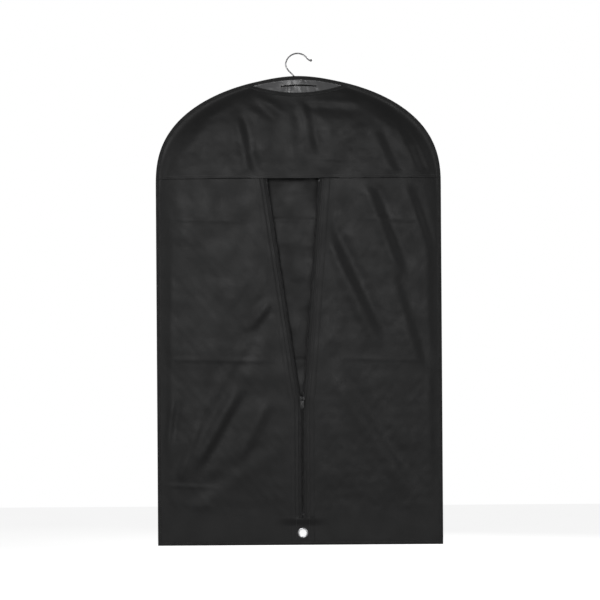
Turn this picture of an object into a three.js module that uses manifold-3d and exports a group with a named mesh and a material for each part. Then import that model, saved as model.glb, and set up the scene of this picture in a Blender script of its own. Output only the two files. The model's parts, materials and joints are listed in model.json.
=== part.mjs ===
// A hanging garment bag with a centre-front zip, on the hanger that carries it.
// Millimetres, +Z up, front towards -Y. The origin is where the hook's crown rests on a rail.
import * as THREE from "three";
import Module from "manifold-3d";
import { mergeVertices } from "three/addons/utils/BufferGeometryUtils.js";

const wasm = await Module();
wasm.setup();

// ---- driving dimensions ----
const HALF_WIDTH = 300;
const TOP_Z = -48;
const BOTTOM_Z = -1033;
const SHOULDER_DROP = 230;
const SHOULDER_X_POWER = 1.8;
const SHOULDER_Z_POWER = 2.55;

const CLOTH = 0.6;
const BINDING = 3;
const SEAM_GAP = 0.4;
const INSET = BINDING + SEAM_GAP;

const HEM_Z = -262;
const HEM_OVERLAP = 10;
const YOKE_LIFT = 2;
const CHEST_FULLNESS = 6;
const CHEST_Z = -160;
const CHEST_SPREAD = 80;
const EDGE_DEPTH = 0.7;
const HEM_DEPTH = 12;
const STOP_DEPTH = 4.2;
const FOOT_DEPTH = 1.6;
const FOOT_TOP_Z = -975;
const FOOT_FLAT_Z = -990;
const PILLOW_POWER = 16;
const PILLOW_SOFTNESS = 0.8;
const EDGE_RISE = 80;

const BACK_SPLIT_X = 240;
const BACK_SPLIT_Z = -200;
const SPLIT_GAP = 0.2;
const NECK_DEPTH = 13;
const NECK_HALF_WIDTH = 85;
const NECK_DROP = 60;
const NECK_BINDING_HALF = 72;
const LENS_HALF_WIDTH = 88;
const LENS_BOTTOM_Z = -83;
const LENS_TIP_Z = -68;
const LENS_BORDER = 4;
const SLOT_WIDTH = 70;
const SLOT_HEIGHT = 2.5;
const SLOT_Z = -67;

const ZIP_X = 5;
const ZIP_TOP_Z = HEM_Z + HEM_OVERLAP;
const ZIP_STOP_Z = -969;
const MOUTH_FOOT_Z = -745;
const SLIDER_TOP_Z = -720;
const ANGLE_LEFT = THREE.MathUtils.degToRad(8.3);
const ANGLE_RIGHT = THREE.MathUtils.degToRad(4.4);
const COIL_WIDTH = 2.2;
const COIL_DEPTH = 3;
const COIL_START = 0.3;
const TAPE_START = 2.8;
const TAPE_END = 14;
const CLOTH_START = 10;
const TAPE_OFFSET = 2.4;
const FLAP_OFFSET = 1.4;
const FLAP_HIDDEN_LEFT = 135;
const FLAP_HIDDEN_RIGHT = 85;
const FLAP_COVER_LEFT = 40;
const FLAP_COVER_RIGHT = 30;

const EYELET_Z = -1007.5;
const EYELET_BORE = 7.8;
const EYELET_WALL = 0.6;
const EYELET_FLANGE = 11;

const WIRE_RADIUS = 1.5;
const HOOK_RADIUS = 25;
const HOOK_BEND_Z = -54.5;
const SHANK_END_Z = -83;
const HANGER_HALF = 213;
const HANGER_THICKNESS = 12;
const BAR_Z = -176;
const BAR_RADIUS = 5;
const BAR_HALF = 184;

// ---- materials ----
const finish = (color, roughness, metalness) =>
  new THREE.MeshStandardMaterial({ color, roughness, metalness });
const SHELL = finish(0x2b2b2b, 0.55, 0);
const FILM = finish(0x6a6a6a, 0.35, 0);
const BINDING_CLOTH = finish(0x1a1a1a, 0.75, 0);
const TAPE = finish(0x1e1e1e, 0.85, 0);
const NYLON = finish(0x242424, 0.4, 0);
const DARK_METAL = finish(0x3a3a3a, 0.35, 0.9);
const BRIGHT_METAL = finish(0xc8c8c8, 0.25, 1);
const PLASTIC = finish(0x151515, 0.45, 0);

// ---- geometry helpers ----
const bag = new THREE.Group();

function add(parent, name, geometry, material) {
  const mesh = new THREE.Mesh(geometry, material);
  mesh.name = name;
  parent.add(mesh);
  return mesh;
}

function solid(geometry) {
  const plain = geometry.index ? geometry.toNonIndexed() : geometry.clone();
  const bare = new THREE.BufferGeometry();
  bare.setAttribute("position", plain.getAttribute("position"));
  const merged = mergeVertices(bare, 1e-4);
  return new wasm.Manifold(
    new wasm.Mesh({
      numProp: 3,
      vertProperties: merged.attributes.position.array,
      triVerts: new Uint32Array(merged.index.array),
    }),
  );
}

function geometryOf(body) {
  const mesh = body.getMesh();
  const geometry = new THREE.BufferGeometry();
  geometry.setAttribute("position", new THREE.BufferAttribute(mesh.vertProperties, 3));
  geometry.setIndex(new THREE.BufferAttribute(mesh.triVerts, 1));
  return geometry;
}

const cut = (geometry, ...tools) =>
  geometryOf(tools.reduce((body, tool) => body.subtract(solid(tool)), solid(geometry)));

// A sheet of cloth, thick along Y, through a grid of points: rows down, columns across.
function sheet(rows, columns, pointAt, thickness = CLOTH) {
  const positions = [];
  const faces = [];
  const layer = (rows + 1) * (columns + 1);
  for (const side of [0.5, -0.5])
    for (let row = 0; row <= rows; row++)
      for (let column = 0; column <= columns; column++) {
        const point = pointAt(row / rows, column / columns);
        positions.push(point.x, point.y + side * thickness, point.z);
      }
  const at = (row, column) => row * (columns + 1) + column;
  for (let row = 0; row < rows; row++)
    for (let column = 0; column < columns; column++) {
      const a = at(row, column);
      const b = at(row, column + 1);
      const c = at(row + 1, column + 1);
      const d = at(row + 1, column);
      faces.push(a, b, c, a, c, d);
      faces.push(layer + a, layer + c, layer + b, layer + a, layer + d, layer + c);
    }
  const rim = [];
  for (let column = 0; column < columns; column++) rim.push(at(0, column));
  for (let row = 0; row < rows; row++) rim.push(at(row, columns));
  for (let column = columns; column > 0; column--) rim.push(at(rows, column));
  for (let row = rows; row > 0; row--) rim.push(at(row, 0));
  rim.forEach((from, i) => {
    const to = rim[(i + 1) % rim.length];
    faces.push(to, from, layer + from, to, layer + from, layer + to);
  });
  const geometry = new THREE.BufferGeometry();
  geometry.setAttribute("position", new THREE.Float32BufferAttribute(positions, 3));
  geometry.setIndex(faces);
  return geometry;
}

const sheetPoint = (x, depth, z) => new THREE.Vector3(x, -depth, z);

// A plate drawn in the X-Z plane, from its front at yFront back through its thickness.
function plate(shape, thickness, yFront, curveSegments = 12) {
  const settings = { depth: thickness, bevelEnabled: false, curveSegments };
  const geometry = new THREE.ExtrudeGeometry(shape, settings);
  geometry.rotateX(Math.PI / 2);
  geometry.translate(0, yFront + thickness, 0);
  return geometry;
}

function polygon(corners) {
  return new THREE.Shape(corners.map(([x, z]) => new THREE.Vector2(x, z)));
}

function block(x0, x1, y0, y1, z0, z1) {
  const geometry = new THREE.BoxGeometry(x1 - x0, y1 - y0, z1 - z0);
  geometry.translate((x0 + x1) / 2, (y0 + y1) / 2, (z0 + z1) / 2);
  return geometry;
}

function squareSection(width) {
  const h = width / 2;
  return polygon([[-h, -h], [h, -h], [h, h], [-h, h]]);
}

function along(pointAt, section, steps) {
  const path = new THREE.Curve();
  path.getPoint = (t) => pointAt(t);
  return new THREE.ExtrudeGeometry(section, { steps, extrudePath: path, bevelEnabled: false });
}

// ---- the bag's outline and fullness ----
const lerp = THREE.MathUtils.lerp;
const clamp01 = (value) => THREE.MathUtils.clamp(value, 0, 1);

function topZ(x, inset = 0) {
  const across = clamp01(Math.abs(x) / (HALF_WIDTH - inset));
  const rise = (1 - across ** SHOULDER_X_POWER) ** (1 / SHOULDER_Z_POWER);
  return TOP_Z - inset - SHOULDER_DROP * (1 - rise);
}

function halfWidth(z, inset = 0) {
  const up = clamp01((z - (TOP_Z - inset - SHOULDER_DROP)) / SHOULDER_DROP);
  return (HALF_WIDTH - inset) * (1 - up ** SHOULDER_Z_POWER) ** (1 / SHOULDER_X_POWER);
}

function coreDepth(z) {
  if (z < FOOT_TOP_Z) {
    const down = clamp01((FOOT_TOP_Z - z) / (FOOT_TOP_Z - FOOT_FLAT_Z));
    return lerp(STOP_DEPTH, FOOT_DEPTH, down);
  }
  const down = clamp01((HEM_Z - z) / (HEM_Z - ZIP_STOP_Z));
  return lerp(HEM_DEPTH, STOP_DEPTH, down);
}

function fullness(x, z) {
  const across = clamp01(Math.abs(x) / Math.max(halfWidth(z), 1));
  const pillow = (1 - across ** PILLOW_POWER) ** PILLOW_SOFTNESS;
  const below = clamp01((topZ(x) - z) / EDGE_RISE);
  return pillow * (1 - (1 - below) ** 2);
}

function neckDepth(x, z) {
  const across = Math.max(0, 1 - (x / NECK_HALF_WIDTH) ** 2);
  const below = clamp01((topZ(x) - z) / NECK_DROP);
  return NECK_DEPTH * across ** 1.5 * (1 - below) ** 1.5;
}

function panelDepth(x, z) {
  return EDGE_DEPTH + (coreDepth(z) - EDGE_DEPTH) * fullness(x, z);
}

function shoulderDepth(x, z) {
  const chest = CHEST_FULLNESS * Math.exp(-(((z - CHEST_Z) / CHEST_SPREAD) ** 2));
  return panelDepth(x, z) + chest * fullness(x, z) + neckDepth(x, z);
}

const yokeDepth = (x, z) => shoulderDepth(x, z) + YOKE_LIFT;

// ---- fabric shell ----
const EYELET_CUTTER = new THREE.CylinderGeometry(
  EYELET_BORE + EYELET_WALL + SEAM_GAP,
  EYELET_BORE + EYELET_WALL + SEAM_GAP,
  40,
  32,
).translate(ZIP_X, 0, EYELET_Z);

// The back is one cloth. It is built as a flat middle, two sides and the shoulders, so that the solids
// of its curved rim don't fill the hollow in front of it.
const footHeights = [FOOT_TOP_Z, FOOT_TOP_Z - 1, FOOT_FLAT_Z, BOTTOM_Z + INSET];
const backHeights = [BACK_SPLIT_Z - SPLIT_GAP, -240, -290, -350, -450, -600, -780, ...footHeights];

function backBelowShoulders(columns, xAt) {
  const rows = backHeights.length - 1;
  const place = (v, u) => {
    const z = backHeights[Math.round(v * rows)];
    const x = xAt(u, z);
    return sheetPoint(x, -shoulderDepth(x, z), z);
  };
  return sheet(rows, columns, place);
}

function backPanel() {
  const edge = BACK_SPLIT_X - SPLIT_GAP;
  return cut(backBelowShoulders(8, (u) => lerp(-edge, edge, u)), EYELET_CUTTER);
}

function backSide(side) {
  const xAt = (u, z) => {
    const outward = Math.sin(((side < 0 ? 1 - u : u) * Math.PI) / 2);
    return side * lerp(BACK_SPLIT_X + SPLIT_GAP, halfWidth(z, INSET) - 0.5, outward);
  };
  return backBelowShoulders(6, xAt);
}

function backShoulders() {
  const edge = halfWidth(BACK_SPLIT_Z, INSET) - 2;
  const place = (v, u) => {
    const x = edge * Math.sin((u - 0.5) * Math.PI);
    const z = lerp(topZ(x, INSET), BACK_SPLIT_Z + SPLIT_GAP, v);
    return sheetPoint(x, -shoulderDepth(x, z), z);
  };
  return sheet(8, 28, place);
}

const lensLowerZ = (x) => lerp(LENS_BOTTOM_Z, LENS_TIP_Z, (x / LENS_HALF_WIDTH) ** 2);

function yokeTopZ(x) {
  const lensEnd = LENS_HALF_WIDTH + LENS_BORDER;
  if (Math.abs(x) < lensEnd) return Math.min(lensLowerZ(x) - LENS_BORDER, topZ(x, INSET));
  return topZ(x, INSET);
}

function yokePanel() {
  const edge = halfWidth(HEM_Z, INSET) - 2;
  const place = (v, u) => {
    const x = edge * Math.sin((u - 0.5) * Math.PI);
    const z = lerp(yokeTopZ(x), HEM_Z, v);
    return sheetPoint(x, yokeDepth(x, z), z);
  };
  return sheet(12, 32, place);
}

function neckInsert() {
  const place = (v, u) => {
    const x = lerp(-LENS_HALF_WIDTH, LENS_HALF_WIDTH, u);
    const z = lerp(topZ(x, INSET), lensLowerZ(x), v);
    return sheetPoint(x, yokeDepth(x, z), z);
  };
  const half = SLOT_WIDTH / 2;
  const slot = block(-half, half, -40, 0, SLOT_Z - SLOT_HEIGHT / 2, SLOT_Z + SLOT_HEIGHT / 2);
  return cut(sheet(6, 20, place), slot);
}

function neckInsertBinding() {
  const place = (v, u) => {
    const x = lerp(-LENS_HALF_WIDTH, LENS_HALF_WIDTH, u);
    const z = lensLowerZ(x) - lerp(SEAM_GAP, LENS_BORDER - SEAM_GAP, v);
    return sheetPoint(x, yokeDepth(x, z), z);
  };
  return sheet(1, 20, place, 1.6);
}

function neckBinding(depthAt, side) {
  const pointAt = (t) => {
    const x = lerp(-NECK_BINDING_HALF, NECK_BINDING_HALF, t);
    const z = topZ(x) - BINDING / 2;
    return new THREE.Vector3(x, side * depthAt(x, z), z);
  };
  return along(pointAt, squareSection(BINDING), 20);
}

function sideBinding(side) {
  const reach = NECK_BINDING_HALF + 3;
  const start = Math.acos((reach / HALF_WIDTH) ** (SHOULDER_X_POWER / 2));
  const shoulderShare = 0.42;
  const inset = BINDING / 2;
  const pointAt = (t) => {
    if (t > shoulderShare) {
      const down = (t - shoulderShare) / (1 - shoulderShare);
      const z = lerp(TOP_Z - inset - SHOULDER_DROP, BOTTOM_Z + INSET, down);
      return new THREE.Vector3(side * (HALF_WIDTH - inset), 0, z);
    }
    const angle = start * (1 - t / shoulderShare);
    const x = (HALF_WIDTH - inset) * Math.cos(angle) ** (2 / SHOULDER_X_POWER);
    return new THREE.Vector3(side * x, 0, topZ(x, inset));
  };
  return along(pointAt, squareSection(BINDING), 44);
}

function yokeHemTape() {
  const edge = halfWidth(HEM_Z, INSET) - 10;
  const place = (v, u) => {
    const x = edge * Math.sin((u - 0.5) * Math.PI);
    const z = lerp(HEM_Z + HEM_OVERLAP, HEM_Z + SEAM_GAP, v);
    return sheetPoint(x, yokeDepth(x, z) - 0.95, z);
  };
  return sheet(1, 32, place);
}

// The front panel's inner edge: slanted beside the mouth, straight beside the closed zip.
function frontPanel(side) {
  const angle = side < 0 ? ANGLE_LEFT : ANGLE_RIGHT;
  const cover = side < 0 ? FLAP_COVER_LEFT : FLAP_COVER_RIGHT;
  const slantEnd = MOUTH_FOOT_Z - 15;
  const innerX = (z) => {
    if (z < FOOT_TOP_Z) return ZIP_X + side * SEAM_GAP;
    const up = clamp01((z - slantEnd) / (HEM_Z - slantEnd));
    const mouth = Math.tan(angle) * (HEM_Z - MOUTH_FOOT_Z) + cover;
    return ZIP_X + side * (CLOTH_START + up * mouth);
  };
  const heights = [ZIP_TOP_Z, HEM_Z, -290, -330, -400, -500, -620, slantEnd, -860, ...footHeights];
  const rows = heights.length - 1;
  const columns = 12;
  const place = (v, u) => {
    const z = heights[Math.round(v * rows)];
    const outer = side * (halfWidth(z, INSET) - 0.5);
    const inward = 1 - Math.cos(((side < 0 ? u : 1 - u) * Math.PI) / 2);
    const x = lerp(outer, innerX(z), inward);
    return sheetPoint(x, panelDepth(x, z), z);
  };
  return cut(sheet(rows, columns, place), EYELET_CUTTER);
}

function bottomHem() {
  return block(-HALF_WIDTH, HALF_WIDTH, -2.4, 2.4, BOTTOM_Z, BOTTOM_Z + BINDING);
}

add(bag, "back_panel", backPanel(), SHELL);
add(bag, "back_side_left", backSide(-1), SHELL);
add(bag, "back_side_right", backSide(1), SHELL);
add(bag, "back_shoulders", backShoulders(), SHELL);
add(bag, "yoke_panel", yokePanel(), SHELL);
add(bag, "neck_insert", neckInsert(), FILM);
add(bag, "neck_insert_binding", neckInsertBinding(), BINDING_CLOTH);
add(bag, "neck_binding_front", neckBinding(yokeDepth, -1), BINDING_CLOTH);
add(bag, "neck_binding_back", neckBinding(shoulderDepth, 1), BINDING_CLOTH);
add(bag, "side_binding_left", sideBinding(-1), BINDING_CLOTH);
add(bag, "side_binding_right", sideBinding(1), BINDING_CLOTH);
add(bag, "bottom_hem", bottomHem(), BINDING_CLOTH);
add(bag, "yoke_hem_tape", yokeHemTape(), BINDING_CLOTH);
add(bag, "front_panel_left", frontPanel(-1), SHELL);
add(bag, "front_panel_right", frontPanel(1), SHELL);

// ---- eyelet through the bottom of the bag ----
function eyeletRing(profile) {
  const points = profile.map(([radius, y]) => new THREE.Vector2(radius, y));
  const ring = new THREE.LatheGeometry([...points, points[0]], 32);
  return ring.translate(ZIP_X, 0, EYELET_Z);
}

function eyeletFront() {
  const wall = EYELET_BORE + EYELET_WALL;
  const face = -FOOT_DEPTH - CLOTH / 2 - 0.3;
  return eyeletRing([
    [EYELET_BORE, FOOT_DEPTH],
    [EYELET_BORE, face - 1],
    [EYELET_FLANGE, face - 1],
    [EYELET_FLANGE, face],
    [wall, face],
    [wall, FOOT_DEPTH],
  ]);
}

function eyeletBack() {
  const face = FOOT_DEPTH + CLOTH / 2 + 0.3;
  return eyeletRing([
    [EYELET_BORE, face],
    [EYELET_FLANGE, face],
    [EYELET_FLANGE, face + 1],
    [EYELET_BORE, face + 1],
  ]);
}

add(bag, "eyelet_front", eyeletFront(), BRIGHT_METAL);
add(bag, "eyelet_back", eyeletBack(), BRIGHT_METAL);

// ---- hanger and swivel hook ----
function hangerBody() {
  const shape = new THREE.Shape();
  const crownZ = -70;
  const lugX = BAR_HALF + 0.4;
  shape.moveTo(0, crownZ);
  shape.bezierCurveTo(70, crownZ - 4, 150, -104, HANGER_HALF - 4, -140);
  shape.quadraticCurveTo(HANGER_HALF + 4, -150, HANGER_HALF - 3, -160);
  shape.lineTo(lugX + 14, BAR_Z - 9);
  shape.lineTo(lugX, BAR_Z - 9);
  shape.lineTo(lugX, -154);
  shape.bezierCurveTo(130, -124, 70, -104, 0, -98);
  shape.bezierCurveTo(-70, -104, -130, -124, -lugX, -154);
  shape.lineTo(-lugX, BAR_Z - 9);
  shape.lineTo(-lugX - 14, BAR_Z - 9);
  shape.lineTo(-HANGER_HALF + 3, -160);
  shape.quadraticCurveTo(-HANGER_HALF - 4, -150, -HANGER_HALF + 4, -140);
  shape.bezierCurveTo(-150, -104, -70, crownZ - 4, 0, crownZ);
  const arms = plate(shape, HANGER_THICKNESS, -HANGER_THICKNESS / 2, 8);
  const shankHole = new THREE.CylinderGeometry(WIRE_RADIUS + 0.5, WIRE_RADIUS + 0.5, 30, 16);
  shankHole.rotateX(Math.PI / 2);
  shankHole.translate(0, 0, SHANK_END_Z - 1.5 + 15);
  return cut(arms, shankHole);
}

function hangerBar() {
  const bar = new THREE.CylinderGeometry(BAR_RADIUS, BAR_RADIUS, 2 * BAR_HALF, 16);
  bar.rotateZ(Math.PI / 2);
  return bar.translate(0, 0, BAR_Z);
}

function hangerFerrule() {
  const bore = WIRE_RADIUS + 0.5;
  const profile = [[bore, -69.6], [6, -69.6], [6, -67], [4.2, -60.5], [bore, -60.5], [bore, -69.6]];
  const ring = new THREE.LatheGeometry(profile.map(([r, z]) => new THREE.Vector2(r, z)), 24);
  return ring.rotateX(Math.PI / 2);
}

// The hook leaves the swivel axis at 45 degrees, goes round the rail and flares at its tip.
function hookRoute() {
  const centreZ = WIRE_RADIUS - HOOK_RADIUS;
  const points = [[0, SHANK_END_Z], [0, -70], [0, -60], [-2.5, HOOK_BEND_Z + 1.5]];
  points.push([-13.5, HOOK_BEND_Z + 13.5]);
  const arcStart = 190;
  const arcEnd = 27;
  const arcSteps = 7;
  for (let i = 0; i <= arcSteps; i++) {
    const angle = THREE.MathUtils.degToRad(lerp(arcStart, arcEnd, i / arcSteps));
    points.push([HOOK_RADIUS * Math.cos(angle), centreZ + HOOK_RADIUS * Math.sin(angle)]);
  }
  points.push([25, -14]);
  return points.map(([x, z]) => new THREE.Vector3(x, 0, z));
}

function hookWire() {
  const section = new THREE.Shape();
  section.absarc(0, 0, WIRE_RADIUS, 0, 2 * Math.PI);
  const extrudePath = new THREE.CatmullRomCurve3(hookRoute());
  const settings = { steps: 44, extrudePath, bevelEnabled: false, curveSegments: 8 };
  return new THREE.ExtrudeGeometry(section, settings);
}

function hookTip() {
  const end = hookRoute().at(-1);
  return new THREE.SphereGeometry(2.75, 16, 10).translate(end.x + 3.4, 0, end.z + 0.4);
}

add(bag, "hanger_body", hangerBody(), PLASTIC);
add(bag, "hanger_bar", hangerBar(), PLASTIC);
add(bag, "hanger_ferrule", hangerFerrule(), BRIGHT_METAL);
add(bag, "hook_wire", hookWire(), BRIGHT_METAL);
add(bag, "hook_tip", hookTip(), BRIGHT_METAL);

// ---- zip, drawn closed and upright in its own frame, whose origin is where the two rows part ----
const zipSlope = (HEM_DEPTH - STOP_DEPTH) / (HEM_Z - ZIP_STOP_Z);
const zip = new THREE.Group();
zip.position.set(ZIP_X, -coreDepth(MOUTH_FOOT_Z), MOUTH_FOOT_Z);
zip.rotation.x = Math.atan(zipSlope);
bag.add(zip);

const STOP_DROP = MOUTH_FOOT_Z - ZIP_STOP_Z;
const MOUTH_HEIGHT = ZIP_TOP_Z - MOUTH_FOOT_Z;
const TOP_STOP_HEIGHT = 478;
const coilFront = -0.2;

function sideBlock(side, near, far, y0, y1, z0, z1) {
  return block(Math.min(side * near, side * far), Math.max(side * near, side * far), y0, y1, z0, z1);
}

function coil(side, z0, z1) {
  const far = COIL_START + COIL_WIDTH;
  return sideBlock(side, COIL_START, far, coilFront, coilFront + COIL_DEPTH, z0, z1);
}

function tape(side, z0, z1) {
  const front = TAPE_OFFSET - CLOTH / 2;
  return sideBlock(side, TAPE_START, TAPE_END, front, front + CLOTH, z0, z1);
}

function flapCloth(side, hidden) {
  const foot = -15;
  const corners = [[CLOTH_START, foot], [CLOTH_START, MOUTH_HEIGHT]];
  corners.push([CLOTH_START + hidden, MOUTH_HEIGHT], [CLOTH_START + 8, foot]);
  const outline = corners.map(([x, z]) => [side * x, z]);
  return plate(polygon(outline), CLOTH, FLAP_OFFSET - CLOTH / 2);
}

function topStop(side) {
  const front = coilFront - 0.4 - 1.2;
  return sideBlock(side, COIL_START, COIL_START + 4, front, front + 1.2, TOP_STOP_HEIGHT, TOP_STOP_HEIGHT + 3);
}

const SIDES = [["left", -1, ANGLE_LEFT, FLAP_HIDDEN_LEFT], ["right", 1, ANGLE_RIGHT, FLAP_HIDDEN_RIGHT]];
for (const [word, side, angle, hidden] of SIDES) {
  add(zip, `zip_tape_lower_${word}`, tape(side, -STOP_DROP - 3, -0.6), TAPE);
  add(zip, `zip_coil_lower_${word}`, coil(side, -STOP_DROP + 2.4, -0.6), NYLON);
  const flap = new THREE.Group();
  flap.rotation.y = side * angle;
  zip.add(flap);
  add(flap, `zip_flap_${word}`, flapCloth(side, hidden), SHELL);
  add(flap, `zip_tape_upper_${word}`, tape(side, 3.6, MOUTH_HEIGHT), TAPE);
  add(flap, `zip_coil_upper_${word}`, coil(side, 0.6, MOUTH_HEIGHT), NYLON);
  add(flap, `zip_top_stop_${word}`, topStop(side), DARK_METAL);
}

function bottomStop() {
  return block(-5, 5, coilFront, coilFront + COIL_DEPTH - 1, -STOP_DROP - 1, -STOP_DROP + 2);
}

add(zip, "zip_bottom_stop", bottomStop(), DARK_METAL);

// ---- slider and its swinging puller ----
const PLATE_FRONT = -2.2;
const PLATE_THICKNESS = 1.6;
const PIVOT_Y = -3.9;
const PIVOT_Z = -4;

function sliderOutline() {
  return polygon([[-5.4, 0], [5.4, 0], [5.4, -6], [3.8, -12], [-3.8, -12], [-5.4, -6]]);
}

// The arch stands on the front plate and holds the puller's cross bar.
function sliderBody() {
  const face = solid(plate(sliderOutline(), PLATE_THICKNESS, PLATE_FRONT));
  const arch = solid(block(-1.1, 1.1, -6.6, PLATE_FRONT + 0.4, -8.4, -0.2));
  const eye = solid(block(-2, 2, -5.2, PLATE_FRONT, -6.8, -1.6));
  return geometryOf(face.add(arch.subtract(eye)));
}

function puller() {
  const outline = [[-3.6, 0.6], [3.6, 0.6], [4, -16], [2.8, -22], [-2.8, -22], [-4, -16]];
  return cut(plate(polygon(outline), 1.2, -0.6), block(-2.2, 2.2, -2, 2, -5.6, -0.6));
}

const slider = new THREE.Group();
slider.position.z = SLIDER_TOP_Z - MOUTH_FOOT_Z;
zip.add(slider);
add(slider, "zip_slider_body", sliderBody(), DARK_METAL);
add(slider, "zip_slider_back_plate", plate(sliderOutline(), 1.2, 3.2), DARK_METAL);
const pullTab = add(slider, "zip_puller", puller(), DARK_METAL);
pullTab.position.set(0, PIVOT_Y, PIVOT_Z);

export default bag;
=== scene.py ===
"""Garment bag: the cloth, zip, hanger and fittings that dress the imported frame.

Every length is in metres, in the frame's own axes: +Z up, the bag's front towards -Y.
"""

import json
import math

import bmesh
import bpy
import numpy as np
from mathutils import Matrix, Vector


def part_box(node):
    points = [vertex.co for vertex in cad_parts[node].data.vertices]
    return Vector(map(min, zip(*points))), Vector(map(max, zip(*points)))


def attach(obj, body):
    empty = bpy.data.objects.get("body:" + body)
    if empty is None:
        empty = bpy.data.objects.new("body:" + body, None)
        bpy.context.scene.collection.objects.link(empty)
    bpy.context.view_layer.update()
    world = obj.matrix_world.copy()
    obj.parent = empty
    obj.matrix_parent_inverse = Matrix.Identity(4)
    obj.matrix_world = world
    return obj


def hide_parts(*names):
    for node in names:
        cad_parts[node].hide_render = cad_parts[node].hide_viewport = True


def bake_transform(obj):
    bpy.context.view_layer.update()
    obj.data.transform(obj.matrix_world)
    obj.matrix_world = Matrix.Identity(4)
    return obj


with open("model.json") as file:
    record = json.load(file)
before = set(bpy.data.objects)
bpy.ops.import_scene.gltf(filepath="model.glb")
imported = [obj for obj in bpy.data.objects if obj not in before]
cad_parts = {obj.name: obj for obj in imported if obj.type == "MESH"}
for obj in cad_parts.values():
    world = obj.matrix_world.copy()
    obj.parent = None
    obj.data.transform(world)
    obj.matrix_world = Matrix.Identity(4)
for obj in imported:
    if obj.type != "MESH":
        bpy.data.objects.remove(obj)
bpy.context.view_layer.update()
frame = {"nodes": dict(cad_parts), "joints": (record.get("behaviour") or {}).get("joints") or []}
joints = {joint["name"]: joint for joint in frame["joints"]}
MM = 0.001

# ---- sizes read from the frame ----
HALF_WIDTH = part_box("side_binding_right")[1].x
TOP_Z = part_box("neck_binding_front")[1].z
BOTTOM_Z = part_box("bottom_hem")[0].z
HEM_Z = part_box("yoke_panel")[0].z
BAR_Z = (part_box("hanger_bar")[0].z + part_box("hanger_bar")[1].z) / 2
EYELET_LOW, EYELET_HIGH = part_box("eyelet_front")
EYELET_X = (EYELET_LOW.x + EYELET_HIGH.x) / 2
EYELET_Z = (EYELET_LOW.z + EYELET_HIGH.z) / 2
EYELET_FLANGE = (EYELET_HIGH.x - EYELET_LOW.x) / 2
HINGE = Vector(joints["mouth_left"]["pos_m"])
ZIP_BACK = Vector(joints["mouth_left"]["axis"])
ZIP_UP = Vector(joints["zip_slide"]["axis"])
SLIDER_TOP = (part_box("zip_slider_body")[1].z - HINGE.z) / ZIP_UP.z
PIVOT = Vector(joints["puller_swing"]["pos_m"])
CLOSING = joints["zip_slide"]["range_m"][1]
TURN_PER_METRE = {-1: 0.321916, 1: 0.170654}     # how far the slider's travel turns each flap
MOUTH_ANGLE = {side: turn * CLOSING for side, turn in TURN_PER_METRE.items()}
SIDE_WORD = {-1: "left", 1: "right"}
FACE_WORD = {-1: "front", 1: "back"}

# ---- sizes of the cloth work ----
SHOULDER_DROP = 0.230  # height of the arched top
SHOULDER_X_POWER = 1.8
SHOULDER_Z_POWER = 2.55
SEAM = 0.0034          # from the bag's rim to the cloth's cut edge
PINCH = 0.008          # width of rim where front and back lie together
HEM_DEPTH = 0.012
STOP_DEPTH = 0.0042
FOOT_DEPTH = 0.0016
FOOT_SLOPE = 0.150     # height over which the cloth beside the zip closes to the foot
EDGE_DEPTH = 0.0007
STOP_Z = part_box("zip_bottom_stop")[0].z
FOOT_TOP_Z = STOP_Z - 0.006
FOOT_FLAT_Z = FOOT_TOP_Z - 0.018
YOKE_LIFT = 0.002      # from the front cloth to the yoke over it
RIM_LIFT = 0.0008      # the same at the rim
RIM_FADE = 1.6         # the folds reach their full height where the cloth is 1/1.6 full
FULL_DROP = 0.080      # how far below the top edge the cloth reaches its full depth
CHEST_Z = -0.160       # where the hanger fills the bag out most
CHEST_SPREAD = 0.080
CHEST_BULGE = 0.006
NECK_HALF = 0.080
NECK_BULGE = 0.013
NECK_DROP = 0.060
LENS_HALF = 0.100
LENS_BOTTOM_Z = -0.083
CLOTH = 0.00035
TOP_HIDDEN = 0.034     # how far the front cloth runs up behind the yoke
CLOTH_EDGE = 0.0085    # from the zip's middle to the folded edge of the cloth
TAPE_EDGE = 0.020
COIL_CENTRE = 0.00125
COIL_HALF = 0.0016
COIL_PITCH = 0.0013
ROW_TOP = 0.512        # height of the coil's upper end over the hinge
PART_START = 0.013     # height over the hinge where the two rows leave each other
PART_FULL = 0.036
BEHIND_HEM = 0.0045    # how far the hidden top of the front cloth dips behind the yoke
HEM_FLAT = 0.030       # height over which the folds fade out beside the hem and the foot
LEAST = 1e-7           # the smallest length told apart from nothing


# ---- numbers ----
def lerp(a, b, share):
    return a + (b - a) * share


def clamp01(value):
    return np.clip(value, 0.0, 1.0)


def smooth(value):
    share = clamp01(value)
    return share * share * (3 - 2 * share)


def bell(value):
    return np.exp(-(value**2))


def xyz(x, y, z):
    """Points from their coordinates, which may be arrays or single numbers."""
    return np.stack(np.broadcast_arrays(x, y, z), axis=-1)


def unit(vectors):
    return vectors / np.maximum(np.linalg.norm(vectors, axis=-1, keepdims=True), 1e-12)


def directions(path):
    return unit(np.gradient(path, axis=0))


# ---- the bag's outline and fullness ----
def top_z(x, inset=0.0):
    across = clamp01(np.abs(x) / (HALF_WIDTH - inset))
    rise = (1 - across**SHOULDER_X_POWER) ** (1 / SHOULDER_Z_POWER)
    return TOP_Z - inset - SHOULDER_DROP * (1 - rise)


def half_width(z, inset=0.0):
    up = clamp01((z - (TOP_Z - inset - SHOULDER_DROP)) / SHOULDER_DROP)
    return (HALF_WIDTH - inset) * (1 - up**SHOULDER_Z_POWER) ** (1 / SHOULDER_X_POWER)


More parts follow.
